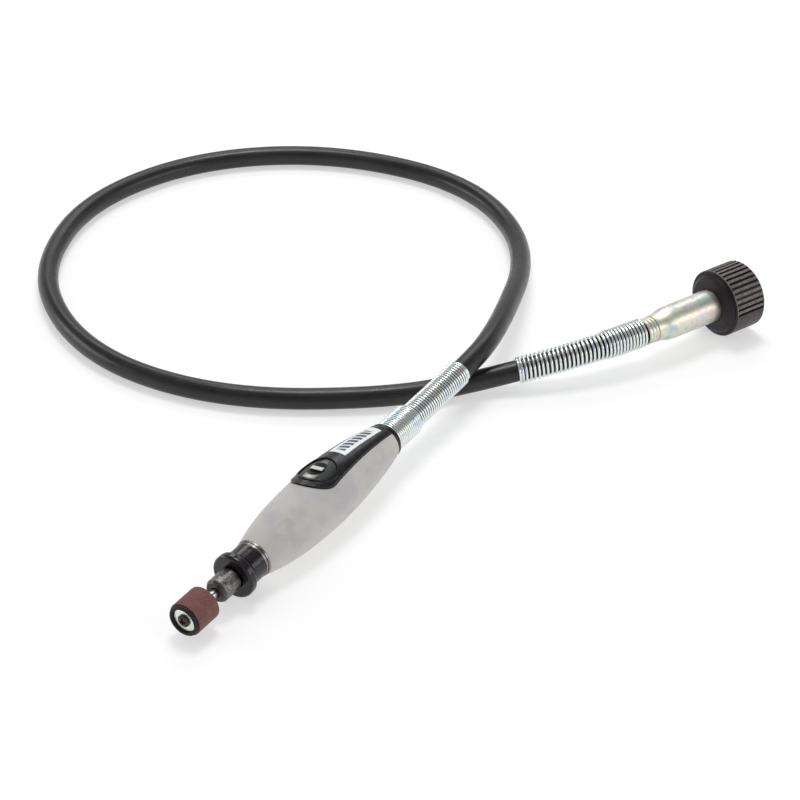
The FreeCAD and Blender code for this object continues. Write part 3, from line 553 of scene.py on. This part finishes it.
def spring_finish():
    """Bright zinc wire with the faint blue, green and pink of its passivation."""
    made = Finish("bright_zinc_wire", 0.2, 1.0)
    tint = made.noise(4.5, 2)
    tone = made.ramp(
        tint,
        (0.34, (0.66, 0.74, 0.80)),
        (0.46, (0.80, 0.83, 0.82)),
        (0.56, (0.74, 0.82, 0.76)),
        (0.66, (0.84, 0.79, 0.82)),
    )
    grime = made.span(made.noise(0.5, 4), 0.58, 0.75, 0.0, 0.4)
    made.colour(made.mix(grime, tone, (0.42, 0.44, 0.45)))
    made.rough(made.noise(0.7, 3), 0.14, 0.3)
    made.bump(made.noise(0.15, 2), 0.006)
    return made.material


def zinc_finish():
    """Turned and zinc plated steel, cloudy yellow, pink and green."""
    made = Finish("passivated_zinc", 0.3, 1.0)
    cloud = made.noise(5.5, 3)
    tone = made.ramp(
        cloud,
        (0.36, (0.46, 0.56, 0.56)),
        (0.46, (0.64, 0.67, 0.60)),
        (0.54, (0.72, 0.71, 0.55)),
        (0.62, (0.72, 0.62, 0.61)),
        (0.72, (0.55, 0.61, 0.65)),
    )
    grain = made.span(made.noise(0.35, 4), 0.5, 0.72, 0.0, 0.45)
    made.colour(made.mix(grain, tone, (0.34, 0.36, 0.34)))
    made.rough(made.noise(1.1, 4), 0.34, 0.5)
    made.bump(made.noise(0.3, 3, (0.35, 6, 6)), 0.010)
    made.bump(made.noise(0.9, 3), 0.02)
    return made.material


NUT_VALLEY = 13.2
NUT_CREST = 13.4
NUT_PAD_Y = 0.899
NUT_PAD_Z = 0.438
NUT_PAD_FROM = 11.7
NUT_PAD_TO = 11.95


def nut_finish():
    """Moulded black plastic whose rib crests are lighter than its two smooth pads: partly wear, partly a painted
    highlight.
    """
    made = Finish("moulded_black_plastic", 0.42).shine(0.3)
    cloud = made.noise(5, 3)
    tone = made.ramp(cloud, (0.3, (0.006, 0.004, 0.006)), (0.7, (0.014, 0.010, 0.013)))
    # The rib crests are painted lighter than the valleys: partly wear, partly a painted highlight along each
    # crest.
    crest = made.span(made.radius(), NUT_VALLEY, NUT_CREST)
    patchy = made.span(made.noise(1.2, 4), 0.3, 0.65, 0.35, 1.0)
    sideways = made.maths("MULTIPLY", made.axis("Y"), NUT_PAD_Y)
    towards_pad = made.maths("MULTIPLY_ADD", made.axis("Z"), NUT_PAD_Z, sideways)
    reach = made.maths("ABSOLUTE", towards_pad)
    ribbed = made.span(reach, NUT_PAD_FROM, NUT_PAD_TO, 1.0, 0.25)
    # This share lightens the crests; it is partly wear and partly painted highlight.
    worn = made.maths("MULTIPLY", made.maths("MULTIPLY", crest, patchy), ribbed)
    made.colour(made.mix(worn, tone, (0.20, 0.17, 0.165)))
    made.rough(made.noise(0.8, 4), 0.34, 0.55)
    made.bump(made.noise(0.22, 2), 0.014)
    made.bump(made.noise(2.5, 2), 0.03)
    return made.material


def bronze_finish():
    """Sintered bronze with open pores."""
    made = Finish("sintered_bronze", 0.4, 1.0)
    pores = made.cells(0.3)
    made.colour(made.ramp(pores, (0.05, (0.16, 0.09, 0.04)), (0.3, (0.55, 0.36, 0.17))))
    made.rough(made.noise(0.5), 0.3, 0.5)
    made.bump(pores, 0.03)
    return made.material


def steel_finish():
    """Ground steel with fine rings round the handpiece's axis."""
    made = Finish("ground_steel", 0.26, 1.0, local=True)
    rings = made.noise(0.25, 3, (0.3, 9, 9))
    made.colour(made.ramp(rings, (0.3, (0.46, 0.46, 0.47)), (0.7, (0.70, 0.70, 0.69))))
    made.rough(made.noise(0.6, 3), 0.18, 0.34)
    made.bump(rings, 0.006)
    return made.material


def grip_finish():
    """Warm light grey soft-touch moulding, matt, with a fine grain and faint handling marks."""
    made = Finish("soft_touch_grey", 0.6, local=True)
    cloud = made.noise(9, 3)
    marks = made.noise(2.6, 5, (2.2, 1, 1))
    tone = made.ramp(
        cloud,
        (0.32, (0.45, 0.435, 0.445)),
        (0.5, (0.50, 0.49, 0.465)),
        (0.68, (0.525, 0.51, 0.47)),
    )
    soil = made.span(marks, 0.56, 0.76, 0.0, 0.32)
    made.colour(made.mix(soil, tone, (0.37, 0.355, 0.325)))
    made.rough(marks, 0.5, 0.68)
    made.bump(made.cells(0.32), 0.016)
    made.bump(made.noise(4, 2), 0.05)
    made.shader.inputs["Sheen Weight"].default_value = 0.08
    return made.material


def panel_finish():
    """Gloss black moulding with faint swirl marks."""
    made = Finish("gloss_black_panel", 0.24, local=True).shine(0.3)
    tone = made.ramp(made.noise(4, 3), (0.3, (0.005, 0.004, 0.006)), (0.7, (0.012, 0.011, 0.013)))
    haze = made.span(made.noise(0.9, 5), 0.58, 0.76, 0.0, 0.3)
    made.colour(made.mix(haze, tone, (0.045, 0.043, 0.045)))
    made.rough(made.noise(1.5, 4), 0.17, 0.32)
    made.bump(made.noise(0.3, 2), 0.006)
    made.bump(made.noise(3, 2), 0.03)
    return made.material


LABEL_MARKS_FROM = 8.4
LABEL_MARKS_TO = 25.9
LABEL_MARK_PITCH = 2.5
LABEL_MARK_SHARE = 0.66
LABEL_MARK_SLANT = 0.35
LABEL_MARK_HALF_HEIGHT = 1.9


def label_finish():
    """White printed plate with a row of plain slanting dark blue bars."""
    made = Finish("white_label", 0.3, local=True)
    paper = made.ramp(made.noise(2.5, 4), (0.3, (0.78, 0.82, 0.84)), (0.7, (0.88, 0.90, 0.90)))
    x = made.axis("X")
    y = made.axis("Y")
    slanted = made.maths("MULTIPLY_ADD", y, LABEL_MARK_SLANT, x)
    phase = made.maths("FRACT", made.maths("DIVIDE", slanted, LABEL_MARK_PITCH))
    bar = made.maths("LESS_THAN", phase, LABEL_MARK_SHARE)
    middle = (LABEL_MARKS_FROM + LABEL_MARKS_TO) / 2
    within = made.maths("COMPARE", x, middle, LABEL_MARKS_TO - middle)
    tall = made.maths("COMPARE", y, 0.0, LABEL_MARK_HALF_HEIGHT)
    printed = made.maths("MULTIPLY", made.maths("MULTIPLY", bar, within), tall)
    worn = made.span(made.noise(0.35, 4), 0.3, 0.5, 0.75, 1.0)
    ink = made.maths("MULTIPLY", printed, worn)
    made.colour(made.mix(ink, paper, (0.010, 0.030, 0.065)))
    made.rough(made.noise(0.8, 3), 0.22, 0.4)
    made.bump(made.noise(0.5, 2), 0.008)
    return made.material


NUB_BASE = 11.5
NUB_TOP = 11.9


def button_finish():
    """Gloss black button, greener than the panel, with a painted highlight on the top of its nub."""
    made = Finish("gloss_black_button", 0.3, local=True).shine(0.22)
    tone = made.ramp(made.noise(2, 3), (0.3, (0.012, 0.014, 0.013)), (0.7, (0.024, 0.026, 0.024)))
    # Painted highlight: the top of the nub is coloured near white where its gloss would reflect the light.
    top = made.span(made.axis("Z"), NUB_BASE, NUB_TOP)
    brightened = made.maths("MULTIPLY", top, made.span(made.noise(0.5, 4), 0.3, 0.6, 0.5, 1.0))
    made.colour(made.mix(brightened, tone, (0.80, 0.80, 0.77)))
    made.rough(made.noise(0.9, 4), 0.24, 0.38)
    made.bump(made.noise(0.4, 2), 0.008)
    return made.material


def nose_finish():
    """Gloss black, nearly wet, with a trace of red and blue where it is scuffed."""
    made = Finish("gloss_black_nose", 0.2, coat=0.15, local=True).shine(0.35)
    made.colour(made.ramp(
        made.noise(2.2, 4),
        (0.35, (0.005, 0.004, 0.006)),
        (0.6, (0.010, 0.007, 0.009)),
        (0.75, (0.022, 0.014, 0.016)),
    ))
    made.rough(made.noise(1.2, 4), 0.12, 0.28)
    made.bump(made.noise(0.35, 2), 0.006)
    return made.material


def trim_finish():
    """Dark turned metal rings between the grip and the nose."""
    made = Finish("dark_turned_metal", 0.3, 1.0, local=True)
    rings = made.noise(0.2, 3, (0.35, 9, 9))
    made.colour(made.ramp(rings, (0.3, (0.12, 0.105, 0.105)), (0.7, (0.34, 0.31, 0.30))))
    made.rough(made.noise(0.8, 3), 0.22, 0.4)
    made.bump(rings, 0.01)
    return made.material


COLLET_NUT_RADIUS = 4.5


def collet_nut_finish():
    """Blackened steel, satin, worn to a warm grey on its edges."""
    made = Finish("blackened_steel", 0.38, 0.85, local=True)
    tone = made.ramp(made.noise(1.3, 4), (0.3, (0.045, 0.038, 0.043)), (0.7, (0.125, 0.108, 0.112)))
    edge = made.span(made.radius(), COLLET_NUT_RADIUS - 0.25, COLLET_NUT_RADIUS)
    wear = made.maths("MULTIPLY", edge, made.span(made.noise(0.5, 4), 0.4, 0.62))
    made.colour(made.mix(wear, tone, (0.30, 0.28, 0.26)))
    made.rough(made.noise(0.5, 4), 0.3, 0.5)
    made.bump(made.noise(0.18, 3), 0.01)
    return made.material


def drum_rubber_finish():
    """Black rubber, dusted by the sanding."""
    made = Finish("black_rubber", 0.6, local=True).shine(0.3)
    tone = made.ramp(made.noise(1.2, 4), (0.3, (0.007, 0.006, 0.007)), (0.7, (0.018, 0.015, 0.016)))
    dust = made.span(made.noise(0.3, 4), 0.6, 0.78, 0.0, 0.5)
    made.colour(made.mix(dust, tone, (0.12, 0.075, 0.065)))
    made.rough(made.noise(0.4, 3), 0.5, 0.7)
    made.bump(made.noise(0.25, 3), 0.02)
    return made.material


def abrasive_finish():
    """Aluminium oxide grit in a reddish brown resin, with darker gaps and paler tips."""
    made = Finish("brown_grit", 0.7, local=True)
    grit = made.noise(0.26, 3, crisp=0.7)
    patch = made.noise(3.2, 3)
    tone = made.ramp(
        grit,
        (0.32, (0.035, 0.012, 0.012)),
        (0.48, (0.15, 0.052, 0.050)),
        (0.6, (0.215, 0.078, 0.072)),
        (0.74, (0.40, 0.24, 0.21)),
    )
    warm = made.span(patch, 0.52, 0.72, 0.0, 0.5)
    made.colour(made.mix(warm, tone, (0.27, 0.105, 0.045)))
    made.rough(grit, 0.55, 0.85)
    made.bump(grit, 0.07)
    made.bump(made.cells(0.22), 0.03)
    return made.material


def washer_finish():
    """Bright plated washer, faintly green, with rings left by the lathe."""
    made = Finish("bright_plated_washer", 0.3, 0.9, local=True)
    rings = made.noise(0.3, 3, (9, 1, 1))
    tone = made.ramp(made.noise(1.6, 3), (0.35, (0.70, 0.78, 0.70)), (0.65, (0.88, 0.90, 0.80)))
    grime = made.span(made.noise(0.4, 4), 0.58, 0.76, 0.0, 0.45)
    made.colour(made.mix(grime, tone, (0.36, 0.38, 0.33)))
    made.rough(made.noise(0.5, 3), 0.24, 0.42)
    made.bump(rings, 0.01)
    return made.material


def screw_finish():
    """Blackened screw with a rubbed, faintly red rim."""
    made = Finish("blackened_screw", 0.34, 0.8, local=True)
    speckle = made.noise(0.5, 4)
    tone = made.ramp(speckle, (0.35, (0.018, 0.014, 0.016)), (0.65, (0.085, 0.06, 0.062)))
    brightened = made.span(made.noise(0.3, 4), 0.6, 0.74, 0.0, 0.7)
    made.colour(made.mix(brightened, tone, (0.40, 0.30, 0.28)))
    made.rough(made.noise(0.3, 3), 0.24, 0.45)
    made.bump(made.noise(0.2, 3), 0.012)
    return made.material


FINISHES = {
    "jacket": jacket_finish(),
    "liner": liner_finish(),
    "spring": spring_finish(),
    "zinc": zinc_finish(),
    "nut_black": nut_finish(),
    "bronze": bronze_finish(),
    "steel": steel_finish(),
    "grip": grip_finish(),
    "panel": panel_finish(),
    "label": label_finish(),
    "button": button_finish(),
    "nose": nose_finish(),
    "trim": trim_finish(),
    "collet_nut": collet_nut_finish(),
    "drum_rubber": drum_rubber_finish(),
    "abrasive": abrasive_finish(),
    "washer": washer_finish(),
    "screw": screw_finish(),
}

for part in frame["record"]["subparts"]:
    node = frame["nodes"][part["node"]]
    if not node.material_slots:
        node.data.materials.append(None)
    for holder in node.material_slots:
        holder.material = FINISHES[part["material_slot"]]

# ---------------------------------------------------------------- pieces to bodies

for piece, body, slot, node in (
    (casing, "tool", "jacket", "casing"),
    (liner, "tool", "liner", "casing_liner"),
    (core, "tool", "liner", "flex_core"),
    (handle_spring, "tool", "spring", "handpiece_spring"),
    (drive_spring, "tool", "spring", "drive_spring"),
    (band, "band", "abrasive", "sanding_band"),
):
    piece.data.materials.append(FINISHES[slot])
    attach(piece, body)
    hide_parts(node)

lock_coil.data.materials.clear()
lock_coil.data.materials.append(FINISHES["steel"])
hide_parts("lock_spring")
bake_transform(lock_coil)

# ---------------------------------------------------------------- table and light

TABLE_HALF = 4.0


def make_table():
    """A pale table top that reaches past every view."""
    mesh = bmesh.new()
    for x, y in ((-1, -1), (1, -1), (1, 1), (-1, 1)):
        mesh.verts.new((x * TABLE_HALF, y * TABLE_HALF, FLOOR))
    mesh.faces.new(list(mesh.verts))
    data = bpy.data.meshes.new("table_top")
    mesh.to_mesh(data)
    mesh.free()
    table = add_object("table_top", data)
    made = Finish("pale_table", 0.75)
    made.colour(made.ramp(made.noise(60, 3), (0.3, (0.56, 0.56, 0.56)), (0.7, (0.58, 0.58, 0.58))))
    made.shader.inputs["Specular IOR Level"].default_value = 0.2
    made.shader.inputs["Emission Color"].default_value = (1.0, 1.0, 1.0, 1.0)
    made.shader.inputs["Emission Strength"].default_value = 0.5
    data.materials.append(made.material)


LIGHT_AIM = (-0.12, 0.06, FLOOR)


def softbox(name, place, width, height, power):
    """A white rectangular light that faces the middle of the object."""
    data = bpy.data.lights.new(name, "AREA")
    data.shape = "RECTANGLE"
    data.size = width
    data.size_y = height
    data.energy = power
    light = add_object(name, data)
    light.location = place
    light.rotation_euler = (Vector(place) - Vector(LIGHT_AIM)).to_track_quat("Z", "Y").to_euler()


SKY = ((0.0, 0.80), (0.3, 0.62), (0.6, 0.22), (0.8, 0.36), (1.0, 0.60))


def make_world():
    """Brightest at the horizon, with a dim belt half way up so that the metals show dark bands."""
    world = bpy.data.worlds.new("studio")
    world.use_nodes = True
    tree = world.node_tree
    back = tree.nodes["Background"]
    place = tree.nodes.new("ShaderNodeTexCoord")
    split = tree.nodes.new("ShaderNodeSeparateXYZ")
    ramp = tree.nodes.new("ShaderNodeValToRGB")
    stops = ramp.color_ramp.elements
    while len(stops) < len(SKY):
        stops.new(0.5)
    for stop, (height, grey) in zip(stops, SKY):
        stop.position = height
        stop.color = (grey * 0.985, grey * 0.99, grey, 1.0)
    tree.links.new(place.outputs["Generated"], split.inputs["Vector"])
    tree.links.new(split.outputs["Z"], ramp.inputs["Fac"])
    tree.links.new(ramp.outputs["Color"], back.inputs["Color"])
    back.inputs["Strength"].default_value = 1.0
    bpy.context.scene.world = world


make_table()
make_world()
softbox("key", (0.14, 0.42, 1.42), 0.6, 0.5, 8.5)
softbox("rear_strip", (0.60, 1.05, 1.03), 1.3, 0.4, 5)
softbox("rear_left", (-1.0, 0.95, 0.35), 0.8, 0.4, 3)
softbox("right_front", (0.56, -0.99, 0.42), 0.9, 0.5, 3)
bpy.context.scene.view_settings.view_transform = "Standard"
